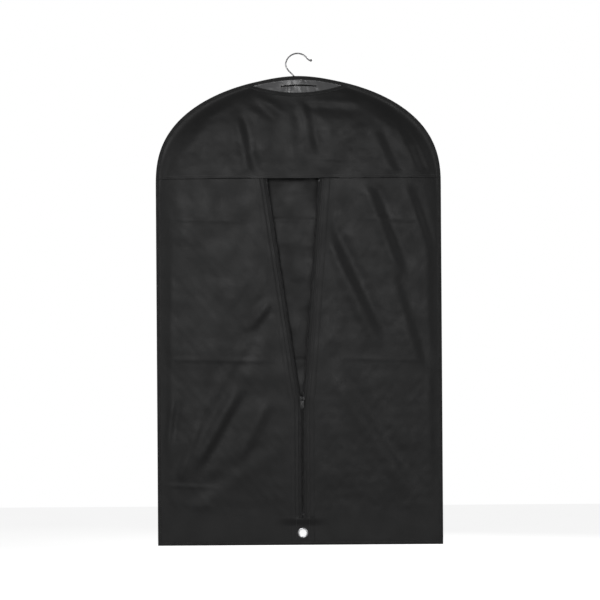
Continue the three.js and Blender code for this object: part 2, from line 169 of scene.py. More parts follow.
def core_depth(x, z):
    """Depth in the cloth's middle. It closes gently to the foot, and steeply only under the zip's end."""
    body = lerp(HEM_DEPTH, STOP_DEPTH, clamp01((HEM_Z - z) / (HEM_Z - STOP_Z)))
    under_zip = smooth((FOOT_TOP_Z - z) / (FOOT_TOP_Z - FOOT_FLAT_Z))
    beside_zip = smooth((FOOT_FLAT_Z + FOOT_SLOPE - z) / FOOT_SLOPE)
    foot = lerp(under_zip, beside_zip, smooth((np.abs(x - HINGE.x) - 0.014) / 0.050))
    return lerp(body, FOOT_DEPTH, foot)


def fullness(x, z):
    """0 at the bag's rim, 1 over its middle."""
    across = clamp01(np.abs(x) / np.maximum(half_width(z, PINCH), MM))
    pillow = (1 - across**9) ** 1.1
    below = clamp01((top_z(x, PINCH) - z) / FULL_DROP)
    return pillow * (1 - (1 - below) ** 2)


def neck_depth(x, z):
    """How far the neck's opening stands out round the hook."""
    across = np.maximum(0, 1 - (x / NECK_HALF) ** 2)
    below = clamp01((top_z(x) - z) / NECK_DROP)
    return NECK_BULGE * across**1.5 * (1 - below) ** 1.5


def panel_depth(x, z):
    return EDGE_DEPTH + (core_depth(x, z) - EDGE_DEPTH) * fullness(x, z)


def shoulder_depth(x, z):
    chest = CHEST_BULGE * bell((z - CHEST_Z) / CHEST_SPREAD)
    return panel_depth(x, z) + chest * fullness(x, z) + neck_depth(x, z)


def yoke_depth(x, z):
    rim = fullness(x, z) + neck_depth(x, z) / NECK_BULGE
    return shoulder_depth(x, z) + RIM_LIFT + (YOKE_LIFT - RIM_LIFT) * clamp01(3 * rim)


def lens_z(x):
    """Lower edge of the lens-shaped window under the neck."""
    tip = float(top_z(LENS_HALF, SEAM))
    return lerp(LENS_BOTTOM_Z, tip, clamp01((x / LENS_HALF) ** 2))


# ---- folds: each is a soft ridge or valley between two points of the cloth ----
def crease(x, z, x0, z0, x1, z1, width, height, step):
    """A ridge of that half width and height. A step rises on one side and falls on the other."""
    along_x, along_z = x1 - x0, z1 - z0
    length = math.hypot(along_x, along_z)
    share = ((x - x0) * along_x + (z - z0) * along_z) / length**2
    off = ((x - x0) * along_z - (z - z0) * along_x) / length
    ends = smooth(share / 0.3) * smooth((1 - share) / 0.3)
    across = off / width
    profile = 1.6 * across * bell(across) if step else bell(across)
    return height * ends * profile


def creases(x, z, folds):
    total = 0.0 * x
    for *sizes, step in folds:
        total = total + crease(x, z, *[size * MM for size in sizes], step)
    return total


def ripples(x, z, seed, size, height, count=14):
    """A seeded sum of slanted waves: the small unevenness of limp cloth."""
    chance = np.random.RandomState(seed)
    total = 0.0 * x
    for _ in range(count):
        angle = chance.uniform(0, math.pi)
        wave = 2 * math.pi / (size * chance.uniform(0.6, 1.8))
        phase = chance.uniform(0, 2 * math.pi)
        bend = chance.uniform(-1, 1) * np.sin(x * 9 + z * 7 + phase)
        total = total + np.sin((x * math.cos(angle) + z * math.sin(angle)) * wave + phase + bend)
    return height * total / math.sqrt(count)


# Each row, in millimetres: from x, z to x, z, half width, height, kind.
STEP, RIDGE = True, False
LEFT_FOLDS = [
    (-55, -705, -138, -872, 14, 3.2, RIDGE),
    (-108, -690, -226, -895, 16, 3.6, STEP),
    (-200, -750, -262, -915, 11, 2.8, RIDGE),
    (-46, -515, -112, -595, 14, 3.6, STEP),
    (-258, -715, -280, -850, 10, 2.2, STEP),
    (-255, -900, -60, -560, 18, 1.6, STEP),
    (-230, -780, -30, -470, 16, 1.4, STEP),
    (-250, -960, -20, -800, 20, 1.2, STEP),
    (-140, -560, -30, -400, 14, 1.4, STEP),
    (-296, -345, -80, -352, 5, 0.8, RIDGE),
    (-296, -640, -40, -646, 5, 0.8, RIDGE),
    (-296, -905, -160, -912, 5, 0.7, RIDGE),
    (-272, -980, -268, -300, 10, 1.4, RIDGE),
]
RIGHT_FOLDS = [
    (138, -235, 236, -500, 18, 5, STEP),
    (42, -320, 190, -640, 19, 4.8, STEP),
    (225, -250, 290, -440, 13, 3.4, STEP),
    (190, -420, 275, -700, 18, 3, STEP),
    (60, -640, 270, -960, 20, 2.6, STEP),
    (90, -345, 296, -352, 5, 0.7, RIDGE),
    (70, -640, 296, -646, 5, 0.7, RIDGE),
    (276, -980, 272, -300, 10, 1.4, RIDGE),
]
YOKE_FOLDS = [
    (-124, -105, -94, -272, 13, 3.4, STEP),
    (-100, -86, -26, -142, 14, -2.8, STEP),
    (-12, -84, 0, -250, 14, 1, STEP),
    (10, -78, 40, -225, 13, 2.6, STEP),
    (0, -104, 150, -114, 13, -2.2, STEP),
    (60, -190, 160, -136, 14, 1.4, STEP),
    (160, -145, 218, -280, 16, 3.6, STEP),
    (205, -120, 272, -280, 12, 2.6, STEP),
    (35, -221, 128, -226, 4, 0.6, RIDGE),
    (-215, -140, -120, -100, 12, 1.6, RIDGE),
    (-270, -230, -180, -140, 16, 1.4, RIDGE),
]
BACK_FOLDS = [
    (-180, -200, -240, -700, 18, 3.4, STEP),
    (60, -150, 120, -620, 20, 3.4, STEP),
    (230, -300, 150, -900, 16, 3, STEP),
    (-60, -420, -100, -980, 18, 2.8, STEP),
    (-250, -345, 250, -352, 4, 1, RIDGE),
    (-250, -640, 250, -646, 4, 1, RIDGE),
    (-130, -90, -90, -300, 12, 3, RIDGE),
    (120, -85, 150, -260, 12, 2.6, STEP),
]


# ---- the zip's own frame: x across, y into the bag, z up the rows, origin at the flaps' hinge ----
def zip_point(x, y, z):
    """A place given in the zip's frame, in the bag's axes."""
    along_y = HINGE.y + y * ZIP_BACK.y + z * ZIP_UP.y
    along_z = HINGE.z + y * ZIP_BACK.z + z * ZIP_UP.z
    return xyz(HINGE.x + x, along_y, along_z)


def parted(height):
    """0 where the rows are closed below the mouth, 1 where a row stands at its flap's full angle."""
    return smooth((height - PART_START) / (PART_FULL - PART_START))


def open_point(side, x, y, z):
    """A place on the closed zip, moved to where the mouth's rest angle puts it."""
    turn = side * MOUTH_ANGLE[side] * parted(z)
    return zip_point(x * np.cos(turn) + z * np.sin(turn), y, z * np.cos(turn) - x * np.sin(turn))


def mouth_x(side, z):
    """Where the middle of a zip row stands at the bag's height z."""
    height = (z - HINGE.z) / ZIP_UP.z
    return HINGE.x + side * height * np.tan(MOUTH_ANGLE[side] * parted(height))


# ---- the cloth surfaces, as y over x and z ----
def cloth_inner_x(side, z):
    return mouth_x(side, z) + side * CLOTH_EDGE


def pressed(inward):
    """How far the cloth dips towards the zip tape, by its distance from the folded edge."""
    return 0.0010 * (1 - smooth((inward - 0.0035) / 0.006))


def facing(inward):
    """How far the doubled strip along the zip stands proud."""
    return 0.0004 * (1 - smooth((inward - 0.0150) / 0.002))


def front_y(side, x, z):
    """A front cloth's face. Folds fade out at its edges, and its top dips behind the yoke."""
    inward = np.abs(x - cloth_inner_x(side, z))
    folds = creases(x, z, LEFT_FOLDS if side < 0 else RIGHT_FOLDS)
    folds = folds + ripples(x, z, 5 + side, 0.085, 0.0004) + ripples(x, z, 9 + side, 0.028, 0.00016)
    full = smooth(fullness(x, z) * RIM_FADE)
    loose = smooth(inward / 0.045) * smooth((HEM_Z - 0.002 - z) / HEM_FLAT) * full
    loose = loose * smooth((z - FOOT_TOP_Z) / HEM_FLAT)
    closed_foot = smooth((FOOT_TOP_Z + 0.002 - z) / 0.004)
    beside = np.abs(np.abs(x - HINGE.x) - CLOTH_EDGE)
    strip = facing(np.where(z < FOOT_TOP_Z, beside, inward))
    roll = 0.0006 * bell((inward - 0.0010) / 0.0018) * (1 - closed_foot)
    tucked = BEHIND_HEM * smooth((z - HEM_Z - 0.001) / 0.012) * full
    tucked = tucked * smooth((inward - 0.014) / 0.020)
    return -(panel_depth(x, z) + folds * loose) + pressed(inward) * (1 - closed_foot) - strip - roll + tucked


def yoke_y(x, z):
    """The yoke's face. Its hollows stay shallow enough to clear the cloth under it."""
    folds = creases(x, z, YOKE_FOLDS) + ripples(x, z, 21, 0.075, 0.0008) + ripples(x, z, 22, 0.026, 0.0002)
    held = smooth((z - HEM_Z) / 0.024 + 0.06) * smooth((np.minimum(top_z(x), lens_z(x)) - z) / 0.03)
    deepest = -0.0006 - 0.0034 * smooth((z - HEM_Z - 0.006) / 0.032)
    held = held * smooth(fullness(x, z) * RIM_FADE)
    return -(yoke_depth(x, z) + np.maximum(folds * held, deepest))


def back_y(x, z):
    """The back cloth's face. It has no hollows over the hanger."""
    folds = creases(x, z, BACK_FOLDS) + ripples(x, z, 31, 0.090, 0.0009) + ripples(x, z, 32, 0.030, 0.0002)
    held = smooth(fullness(x, z) * RIM_FADE) * smooth((z - FOOT_TOP_Z) / HEM_FLAT)
    held = held * smooth((top_z(x) - z) / 0.06)
    deepest = 0.0008 - 0.0058 * smooth((BAR_Z - 0.010 - z) / 0.060)
    return shoulder_depth(x, z) + np.maximum(folds, deepest) * held


# ---- mesh building ----
CLOTH_SHARP = math.radians(50)     # edges that bend more than this stay crisp
HARD_SHARP = math.radians(40)


def new_piece(name, points, faces, finish):
    mesh = bpy.data.meshes.new(name)
    mesh.from_pydata([tuple(point) for point in points], [], faces)
    mesh.materials.append(finish)
    mesh.shade_smooth()
    piece = bpy.data.objects.new(name, mesh)
    bpy.context.scene.collection.objects.link(piece)
    return piece


def dress(piece, body, slot, *nodes):
    """Puts a piece on its body, in place of the frame's nodes that it stands for. The slot is not used."""
    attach(piece, body)
    if nodes:
        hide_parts(*nodes)
    return piece


def grid_faces(rows, columns, keep=None, closed=False):
    """Quads over a grid of rows x columns points. A closed grid joins its last column to its first."""
    faces = []
    spans = columns if closed else columns - 1
    for row in range(rows - 1):
        for column in range(spans):
            beside = (column + 1) % columns
            if keep is None or keep[row, column]:
                a, b = row * columns + column, row * columns + beside
                faces.append((a, b, b + columns, a + columns))
    return faces


def cloth_piece(name, places, finish, keep=None, thickness=CLOTH):
    """A sheet of cloth from a rows x columns x 3 grid of places."""
    rows, columns = places.shape[:2]
    piece = new_piece(name, places.reshape(-1, 3), grid_faces(rows, columns, keep), finish)
    solid = piece.modifiers.new("thickness", "SOLIDIFY")
    solid.thickness = thickness
    solid.offset = 0
    graph = bpy.context.evaluated_depsgraph_get()
    mesh = bpy.data.meshes.new_from_object(piece.evaluated_get(graph))
    piece.modifiers.clear()
    piece.data = mesh
    mesh.set_sharp_from_angle(angle=CLOTH_SHARP)
    return piece


def sweep(name, path, sides, ups, section, finish):
    """A closed section of (side, up) places carried along a path, with both directions at each point."""
    section = np.array(section)
    rings = path[:, None, :] + section[None, :, :1] * sides[:, None, :]
    rings = rings + section[None, :, 1:] * ups[:, None, :]
    count, columns = rings.shape[:2]
    faces = grid_faces(count, columns, closed=True)
    faces.append(tuple(range(columns))[::-1])
    faces.append(tuple(range((count - 1) * columns, count * columns)))
    return new_piece(name, rings.reshape(-1, 3), faces, finish)


def tube(name, path, radius, corners, finish):
    """A round tube along a path, with frames that don't twist."""
    along = directions(path)
    sides = unit(np.cross([0.0, 1.0, 0.0], along))
    turn = np.linspace(0, 2 * math.pi, corners, endpoint=False)
    section = np.stack([radius * np.cos(turn), radius * np.sin(turn)], axis=1)
    return sweep(name, path, sides, np.cross(along, sides), section, finish)


def lathe(name, profile, centre, axis, finish, steps):
    """A closed profile of (radius, height) turned about an axis, y or z, through centre."""
    turn = np.linspace(0, 2 * math.pi, steps, endpoint=False)
    profile = np.array(profile)
    rings = np.zeros((len(profile), steps, 3))
    rings[..., 0] = profile[:, None, 0] * np.cos(turn)
    rings[..., 2 if axis == "y" else 1] = profile[:, None, 0] * np.sin(turn)
    rings[..., 1 if axis == "y" else 2] = profile[:, None, 1]
    rings += np.array(centre)
    faces = grid_faces(len(profile), steps, closed=True)
    last = (len(profile) - 1) * steps
    for column in range(steps):
        beside = (column + 1) % steps
        faces.append((last + column, last + beside, beside, column))
    return face_outwards(new_piece(name, rings.reshape(-1, 3), faces, finish))


def face_outwards(piece):
    """Welds doubled points and turns every face outwards."""
    work = bmesh.new()
    work.from_mesh(piece.data)
    bmesh.ops.remove_doubles(work, verts=work.verts, dist=LEAST)
    bmesh.ops.recalc_face_normals(work, faces=work.faces)
    work.to_mesh(piece.data)
    work.free()
    piece.data.set_sharp_from_angle(angle=HARD_SHARP)
    return piece


def plate(name, outlines, thickness, rounding, place, finish):
    """A rounded plate from closed outlines of (x, z) points, the first one solid and the others holes."""
    curve = bpy.data.curves.new(name, "CURVE")
    curve.dimensions = "2D"
    curve.fill_mode = "BOTH"
    curve.extrude = thickness / 2 - rounding
    curve.bevel_depth = rounding
    curve.bevel_resolution = 3
    curve.offset = -rounding
    for outline in outlines:
        spline = curve.splines.new("POLY")
        spline.points.add(len(outline) - 1)
        spline.use_cyclic_u = True
        for point, (x, z) in zip(spline.points, outline):
            point.co = (x, z, 0, 1)
    holder = bpy.data.objects.new(name, curve)
    bpy.context.scene.collection.objects.link(holder)
    bpy.context.view_layer.update()
    graph = bpy.context.evaluated_depsgraph_get()
    mesh = bpy.data.meshes.new_from_object(holder.evaluated_get(graph))
    bpy.data.objects.remove(holder)
    points = np.array([(v.co.x, v.co.z, v.co.y) for v in mesh.vertices])
    faces = [tuple(face.vertices) for face in mesh.polygons]
    bpy.data.meshes.remove(mesh)
    return face_outwards(new_piece(name, place(*points.T), faces, finish))


def joined(name, parts):
    """Several pieces as one, under the first one's finish."""
    points, faces = [], []
    for part in parts:
        base = len(points)
        points += [tuple(v.co) for v in part.data.vertices]
        faces += [tuple(base + i for i in face.vertices) for face in part.data.polygons]
    finish = parts[0].data.materials[0]
    for part in parts:
        bpy.data.objects.remove(part)
    piece = new_piece(name, points, faces, finish)
    piece.data.set_sharp_from_angle(angle=HARD_SHARP)
    return piece


def round_corners(corners, radius, steps=5):
    """A closed outline of (x, z) points with each corner rounded by a quadratic curve."""
    outline = []
    for index, corner in enumerate(corners):
        here = np.array(corner)
        before = np.array(corners[index - 1]) - here
        after = np.array(corners[(index + 1) % len(corners)]) - here
        reach = min(radius, np.linalg.norm(before) * 0.45, np.linalg.norm(after) * 0.45)
        start, end = here + unit(before) * reach, here + unit(after) * reach
        for share in np.linspace(0, 1, steps):
            outline.append(tuple(lerp(lerp(start, here, share), lerp(here, end, share), share)))
    return outline


def in_mm(points):
    return [(x * MM, z * MM) for x, z in points]


# ---- stitches ----
STITCH = 0.0030
STITCH_GAP = 0.0012
THREAD = 0.00028
THREAD_LIFT = 0.0002
YOKE_STITCH = 0.0063   # from the yoke's lower edge to its row of stitches
STITCH_SWELL = np.array([0.45, 0.95, 1.0, 0.95, 0.45])     # the thread's radius along a stitch
STITCH_RISE = np.array([-0.8, 0.55, 0.8, 0.55, -0.8])      # its height over the cloth
SEWN_IN = 0.0052       # from a bound edge to its row of stitches
SEWN_LIFT = 0.0008
BINDING_WIDTH = 0.0068
BINDING_FIRST_X = 0.0745     # where the side bindings start beside the neck
HEM_WIDTH = 0.0070
HEM_LIFT = 0.0004


def stitches(name, path, face=-1, length=STITCH, thread=THREAD):
    """A row of sewn stitches on the front (-1) or the back (1): short threads along a path that dip
    into the cloth at their ends."""
    steps = np.linalg.norm(np.diff(path, axis=0), axis=1)
    reached = np.concatenate([[0], np.cumsum(steps)])
    count = int(reached[-1] / (length + STITCH_GAP))
    shares = np.linspace(0, 1, len(STITCH_RISE))
    corners = np.linspace(0, 2 * math.pi, 6, endpoint=False)
    points, faces = [], []
    lift = np.array([[0.0, face, 0.0]])
    for index in range(count):
        start = index * (length + STITCH_GAP) + STITCH_GAP / 2
        at = start + shares * length
        middle = np.stack([np.interp(at, reached, path[:, i]) for i in range(3)], axis=1)
        along = directions(middle)
        side = unit(np.cross(along, lift))
        radius = thread * STITCH_SWELL[:, None]
        height = thread * STITCH_RISE[:, None]
        ring = middle[:, None, :] + lift[:, None, :] * (height + radius * np.sin(corners))[..., None]
        ring = ring + side[:, None, :] * (radius * np.cos(corners))[..., None]
        base = len(points)
        points += [tuple(point) for point in ring.reshape(-1, 3)]
        faces += [tuple(base + i for i in face) for face in grid_faces(5, 6, closed=True)]
        faces += [tuple(base + i for i in range(6))[::-1], tuple(base + 24 + i for i in range(6))]
    return new_piece(name, points, faces, STITCHING)


# ---- finishes ----
MOTTLE_LOW = 0.3       # the part of a noise's range over which a finish changes
MOTTLE_HIGH = 0.7
COOL = 1.02            # how much bluer than neutral the greys are


class Finish:
    """A principled material that is built up with a few procedural layers."""

    def __init__(self, name, roughness, **sockets):
        self.material = bpy.data.materials.new(name)
        self.material.use_nodes = True
        self.tree = self.material.node_tree
        self.shader = self.tree.nodes["Principled BSDF"]
        self.shader.inputs["Roughness"].default_value = roughness
        for socket, value in sockets.items():
            self.shader.inputs[socket.replace("_", " ")].default_value = value
        self.place = self.tree.nodes.new("ShaderNodeTexCoord").outputs["Object"]
        self.normal = None

    def node(self, kind, output, links, **settings):
        """A new node's output, with its inputs linked or set."""
        node = self.tree.nodes.new(kind)
        for key, value in settings.items():
            socket = key.replace("_", " ")
            if socket in node.inputs:
                node.inputs[socket].default_value = value
            else:
                setattr(node, key, value)
        for key, source in links.items():
            self.tree.links.new(source, node.inputs[key])
        return node.outputs[output]

    def drawn_out(self, rise):
        """The place, squeezed upwards so that a noise is drawn out along z."""
        return self.node("ShaderNodeMapping", "Vector", {"Vector": self.place}, Scale=(1, 1, rise))

    def noise(self, scale, detail, place=None):
        links = {"Vector": place or self.place}
        return self.node("ShaderNodeTexNoise", "Fac", links, Scale=scale, Detail=detail)

    def wave(self, scale, direction, distortion=0.0):
        return self.node("ShaderNodeTexWave", "Fac", {"Vector": self.place}, Scale=scale,
                         Distortion=distortion, bands_direction=direction)

    def link(self, output, socket):
        self.tree.links.new(output, self.shader.inputs[socket])

    def colours(self, factor, low, high, cool=COOL):
        """Greys that go from low to high with the factor."""
        output = self.node("ShaderNodeValToRGB", "Color", {"Fac": factor})
        ends = output.node.color_ramp.elements
        for end, position, value in zip(ends, (MOTTLE_LOW, MOTTLE_HIGH), (low, high)):
            end.position = position
            end.color = (value, value, value * cool, 1)
        self.link(output, "Base Color")

    def rough(self, factor, low, high):
        """Roughness that goes from low to high with the factor."""
        output = self.node("ShaderNodeMapRange", "Result", {"Value": factor}, From_Min=MOTTLE_LOW,
                           From_Max=MOTTLE_HIGH, To_Min=low, To_Max=high)
        self.link(output, "Roughness")

    def bump(self, height, distance, strength):
        links = {"Height": height}
        if self.normal is not None:
            links["Normal"] = self.normal
        self.normal = self.node("ShaderNodeBump", "Normal", links, Strength=strength, Distance=distance)
        self.link(self.normal, "Normal")


    def grained(self, scale, distance, strength):
        """Small raised cells, as on moulded plastic."""
        output = self.node("ShaderNodeTexVoronoi", "Distance", {"Vector": self.place}, Scale=scale)
        self.bump(output, distance, strength)

    def woven(self, first, second, distance, strength):
        """Ribs where two sets of waves cross."""
        links = {0: self.wave(*first), 1: self.wave(*second)}
        output = self.node("ShaderNodeMath", "Value", links, operation="MULTIPLY")
        self.bump(output, distance, strength)


def finished(name, roughness, greys, wear=None, pits=(), streak=None, **sockets):
    """A finish from its noises. greys and wear are (scale, detail, low, high), and each of pits is
    (scale, detail, depth, strength). streak draws every noise out upwards."""
    made = Finish(name, roughness, **sockets)
    place = made.drawn_out(streak) if streak else None
    made.colours(made.noise(*greys[:2], place), *greys[2:])
    if wear:
        made.rough(made.noise(*wear[:2], place), *wear[2:])
    for scale, detail, depth, strength in pits:
        made.bump(made.noise(scale, detail, place), depth, strength)
    return made


def plated(name, low, high, dull, fine):
    return finished(name, 0.2, (fine, 3, low, high), (fine * 2, 4, dull, dull + 0.12),
                    [(fine * 6, 2, 0.00002, 0.4)], Metallic=1.0).material


shell = finished("shell cloth", 0.5, (7, 4, 0.0082, 0.0104), (24, 3, 0.42, 0.56),
                 [(38, 3, 0.0004, 0.5), (300, 2, 0.00016, 0.5)],
                 Specular_IOR_Level=0.42, Sheen_Weight=0.05, Sheen_Roughness=0.45)
shell.woven((430, "X"), (430, "Z"), 0.00006, 0.6)
film_sheet = finished("insert film", 0.36, (40, 2, 0.120, 0.150), (90, 2, 0.24, 0.42),
                      [(45, 1, 0.0004, 0.4)], streak=0.15,
                      Specular_IOR_Level=0.5, Coat_Weight=0.25, Coat_Roughness=0.2)
film_sheet.grained(900, 0.00002, 0.4)
binding = finished("binding tape", 0.62, (90, 3, 0.0065, 0.0115), (40, 2, 0.55, 0.7),
                   Specular_IOR_Level=0.4, Sheen_Weight=0.3, Sheen_Roughness=0.5)
binding.woven((240, "DIAGONAL"), (300, "Z"), 0.00012, 0.8)
thread = finished("sewing thread", 0.55, (800, 2, 0.018, 0.034), Sheen_Weight=0.3, Sheen_Roughness=0.5)
thread.bump(thread.wave(900, "DIAGONAL"), 0.00008, 0.7)
tape = finished("zip tape", 0.6, (160, 3, 0.014, 0.020), (60, 2, 0.54, 0.66),
                Specular_IOR_Level=0.45, Sheen_Weight=0.35, Sheen_Roughness=0.5)
tape.woven((420, "Z", 1.5), (300, "X"), 0.00014, 0.9)
nylon = finished("nylon coil", 0.34, (120, 2, 0.020, 0.030), (200, 2, 0.28, 0.42),
                 [(1500, 2, 0.00003, 0.5)], Specular_IOR_Level=0.5, Coat_Weight=0.1, Coat_Roughness=0.3)
enamel = finished("enamelled metal", 0.36, (220, 4, 0.020, 0.034), (150, 4, 0.26, 0.46),
                  [(700, 3, 0.00003, 0.6)], Metallic=0.35, Coat_Weight=0.3, Coat_Roughness=0.25)
plastic = finished("moulded plastic", 0.42, (50, 3, 0.012, 0.018), (35, 3, 0.36, 0.5),
                   Specular_IOR_Level=0.5)
plastic.grained(1400, 0.00005, 0.5)

SHELL = shell.material
FILM = film_sheet.material
BINDING = binding.material
STITCHING = thread.material
TAPE = tape.material
NYLON = nylon.material
ENAMEL = enamel.material
NICKEL = plated("nickel plate", 0.46, 0.62, 0.20, 60)
CHROME = plated("bright wire", 0.26, 0.42, 0.12, 120)
PLASTIC = plastic.material


# ---- cloth panels ----
HOLE = EYELET_FLANGE - 0.0014
FOOT_OVERLAP = {-1: 0.024, 1: 0.015}     # how far each front cloth runs past the zip's middle at the foot
FOLD_COLUMNS = 9


def punched(places, keep):
    """Opens the eyelet's hole in a grid of cloth, by moving its points to the rim."""
    across = places[..., 0] - EYELET_X
    up = places[..., 2] - EYELET_Z
    reach = np.hypot(across, up)
    inside = reach < HOLE
    grow = np.where(inside, HOLE / np.maximum(reach, LEAST), 1)
    places[..., 0] = EYELET_X + across * grow
    places[..., 2] = EYELET_Z + up * grow
    keep &= ~(inside[:-1, :-1] & inside[1:, :-1] & inside[:-1, 1:] & inside[1:, 1:])


def bend_with_flap(piece):
    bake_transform(piece)


def make_back_cloth():
    x = np.sin(np.linspace(-1, 1, 191) * math.pi / 2) * (HALF_WIDTH - SEAM)
    z = lerp(top_z(x, SEAM), BOTTOM_Z + SEAM, np.linspace(0, 1, 251)[:, None])
    x = x + 0 * z
    places = xyz(x, back_y(x, z), z)
    keep = np.ones((z.shape[0] - 1, z.shape[1] - 1), bool)
    punched(places, keep)
    piece = cloth_piece("back_cloth", places, SHELL, keep)
    nodes = ("back_panel", "back_side_left", "back_side_right", "back_shoulders")
    return dress(piece, "bag", "shell_fabric", *nodes)


def make_front_cloth(side):
    """One front panel with its flap. Its inner edge folds back, and laps the other's at the foot."""
    word = SIDE_WORD[side]
    above = np.linspace(HEM_Z + TOP_HIDDEN, FOOT_TOP_Z, 236)
    below = np.linspace(FOOT_TOP_Z - 0.0002, BOTTOM_Z + SEAM, 20)
    z = np.concatenate([above, below])[:, None]
    share = np.linspace(0, 1, 121)
    share = share - 0.35 * np.sin(2 * math.pi * share) / (2 * math.pi)
    reach = np.concatenate([share, np.ones(FOLD_COLUMNS)])
    hidden = 1 - 0.9 * smooth((0.35 - reach) / 0.325)
    z = np.where(z > HEM_Z, HEM_Z + (z - HEM_Z) * hidden, z)
    edge_z = z[:, len(share):]
    z = z[:, :len(share)]
    inner = cloth_inner_x(side, z[:, -1:])
    x = lerp(side * half_width(z, SEAM), inner, share)
    y = front_y(side, x, z)
    back_over = side * np.linspace(-0.0002, 0.0100, FOLD_COLUMNS)
    fold_x = inner + back_over
    fold_y = front_y(side, fold_x, edge_z) + np.array([0.0004] + [0.0008] * (FOLD_COLUMNS - 1))
    over = np.linspace(0, 1, FOLD_COLUMNS + 1)[1:]
    foot_x = lerp(inner, HINGE.x - side * FOOT_OVERLAP[side], over)
    in_foot = edge_z < FOOT_TOP_Z - 0.0001
    edge_x = np.where(in_foot, foot_x, fold_x)
    edge_y = np.where(in_foot, front_y(side, foot_x, edge_z), fold_y)
    x = np.concatenate([x, edge_x], axis=1)
    y = np.concatenate([y, edge_y], axis=1)
    z = np.concatenate([z, edge_z], axis=1)
    if side > 0:
        beside = 1 - smooth((x - HINGE.x - FOOT_OVERLAP[-1]) / 0.002)
        y = y + 0.0007 * smooth((FOOT_TOP_Z + 0.004 - z) / 0.004) * beside
    places = xyz(x, y, z)
    keep = np.ones((z.shape[0] - 1, x.shape[1] - 1), bool)
    keep[len(above) - 1, len(share) - 1:] = False
    punched(places, keep)
    piece = cloth_piece("front_cloth_" + word, places, SHELL, keep)
    bend_with_flap(piece)
    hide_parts("front_panel_" + word, "zip_flap_" + word)
    return piece


def make_yoke_cloth():
    """The yoke, with its hem turned up behind its lower edge."""
    x = np.sin(np.linspace(-1, 1, 261) * math.pi / 2) * half_width(HEM_Z, SEAM)
    top = np.minimum(top_z(x, SEAM), lens_z(x))
    height = np.maximum(top - HEM_Z, 0.0001)
    z = lerp(top, HEM_Z + 0.0004 + 0 * top, np.linspace(0, 1, 96)[:, None])
    x = x + 0 * z
    y = yoke_y(x, z)
    turned = 0.5 * (yoke_depth(x[-1], z[-1]) - shoulder_depth(x[-1], z[-1]))
    wrap_z = [HEM_Z + 0 * height]
    wrap_y = [y[-1] + turned * 0.5]
    for up in np.linspace(0.0004, 0.0090, 5):
        wrap_z.append(HEM_Z + np.minimum(up, 0.8 * height))
        wrap_y.append(yoke_y(x[-1], wrap_z[-1]) + turned)
    z = np.concatenate([z, np.array(wrap_z)])
    y = np.concatenate([y, np.array(wrap_y)])
    x = x[0] + 0 * z
    piece = cloth_piece("yoke_cloth", xyz(x, y, z), SHELL)
    return dress(piece, "bag", "shell_fabric", "yoke_panel", "yoke_hem_tape")


# ---- the film window and its slot ----
SLOT_X = 0.002
SLOT_Z = -0.067
SLOT_HALF = 0.035
SLOT_GAP = 0.0009
SLOT_SAG = 0.0017
FILM_UNDER = 0.006     # how far the film runs on under the yoke
FILM_THICK = 0.00025
ABOVE_ROWS = 18
BELOW_ROWS = 22
# Each row, in millimetres: middle x, half width, height, foot z.
FILM_STREAKS = [
    (-24, 4.0, 1.6, -85),
    (-31, 3.0, -1.0, -85),
    (-16, 2.6, 1.0, -85),
    (8.5, 2.8, 1.4, -64),
    (15, 3.0, -0.8, -64),
    (46, 6.0, 1.0, -85),
    (-60, 7.0, 1.0, -85),
    (24, 5.0, -0.6, -64),
]


def slot_z(x):
    return SLOT_Z - SLOT_SAG * np.minimum(((x - SLOT_X) / SLOT_HALF) ** 2, 1.6)


def film_y(x, z):
    """The film's face: upright streaks that end at the slot, and fine puckers that calm down beside it."""
    held = smooth((top_z(x, SEAM) - z) / 0.008) * smooth((z - lens_z(x) + 0.002) / 0.010)
    beside_slot = smooth((np.abs(z - slot_z(x)) - 0.0005) / 0.004)
    streaks = 0.0
    for centre, width, height, foot in np.array(FILM_STREAKS) * MM:
        reach = smooth((z - foot) / 0.006) if foot > slot_z(centre) else smooth((SLOT_Z - z) / 0.004)
        streaks = streaks + height * bell((x - centre) / width) * reach
    small = 0.00014 * np.sin(x * 330 + 1.5 * np.sin(z * 90)) + 0.00005 * np.sin(x * 700 + z * 120)
    return -(yoke_depth(x, z) - 0.0009) - (streaks + small * (0.35 + 0.65 * beside_slot)) * held


def make_film():
    """The film behind the window, open along the slot."""
    x = np.linspace(-LENS_HALF - 0.003, LENS_HALF + 0.003, 221)
    opening = SLOT_GAP * np.sqrt(clamp01(1 - ((x - SLOT_X) / SLOT_HALF) ** 8)) + 0.00004
    under = lens_z(x) - FILM_UNDER
    top = top_z(x, SEAM)
    middle = np.minimum(np.maximum(slot_z(x), under + MM), top - MM)
    upper = lerp(top, middle + opening, np.linspace(0, 1, ABOVE_ROWS)[:, None])
    lower = lerp(middle - opening, under, np.linspace(0, 1, BELOW_ROWS)[:, None])
    z = np.concatenate([upper, lower])
    x = x + 0 * z
    keep = np.ones((z.shape[0] - 1, z.shape[1] - 1), bool)
    keep[ABOVE_ROWS - 1] = np.abs((x[0, 1:] + x[0, :-1]) / 2 - SLOT_X) > SLOT_HALF - 0.0005
    places = xyz(x, film_y(x, z), z)
    piece = cloth_piece("insert_film", places, FILM, keep, FILM_THICK)
    return dress(piece, "bag", "insert_film", "neck_insert")


def on_front(x, z, lift):
    """Places on the yoke or film side of the neck, lifted that far off the cloth."""
    return xyz(x, yoke_y(x, z) - lift, z)


